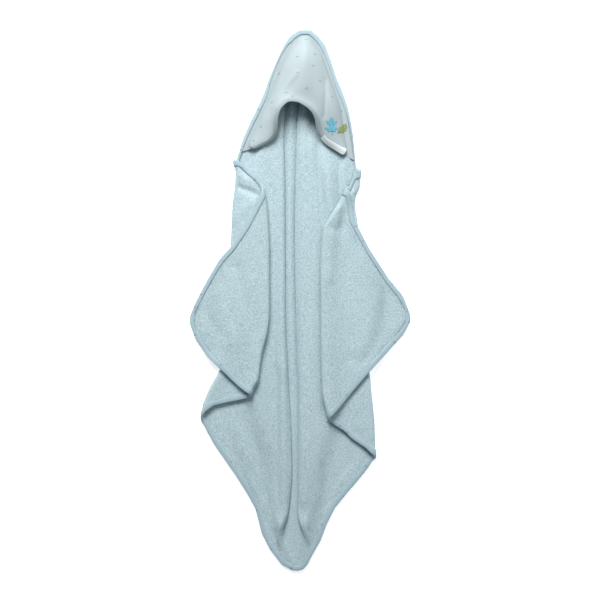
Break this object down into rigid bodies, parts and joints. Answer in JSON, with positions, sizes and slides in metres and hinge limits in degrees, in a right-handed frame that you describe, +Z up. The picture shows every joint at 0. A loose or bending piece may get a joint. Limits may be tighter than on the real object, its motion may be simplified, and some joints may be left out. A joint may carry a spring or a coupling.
{
  "type": "hooded towel",
  "caption": "Square hooded towel laid out cornerwise, sides folded over, centre pleated, with a jersey hood front on one corner and bound edges.",
  "frame": {"origin": "middle of the towel's bounds, on the surface that it lies on", "axes": "+X across the folded towel, to the right in the picture; +Y from the bottom corner to the hood's tip; +Z up from the surface"},
  "size_m": [0.4156, 1.0206, 0.0541],
  "materials": {
    "terry": "looped pile",
    "binding": "smooth knit",
    "jersey": "smooth knit",
    "rim": "smooth knit",
    "woven_label": "woven tape"
  },
  "bodies": {
    "root": {"towel_body": "terry", "hem_binding": "binding", "hood_front": "jersey", "hood_rim": "rim", "label": "woven_label"}
  },
  "joints": []
}
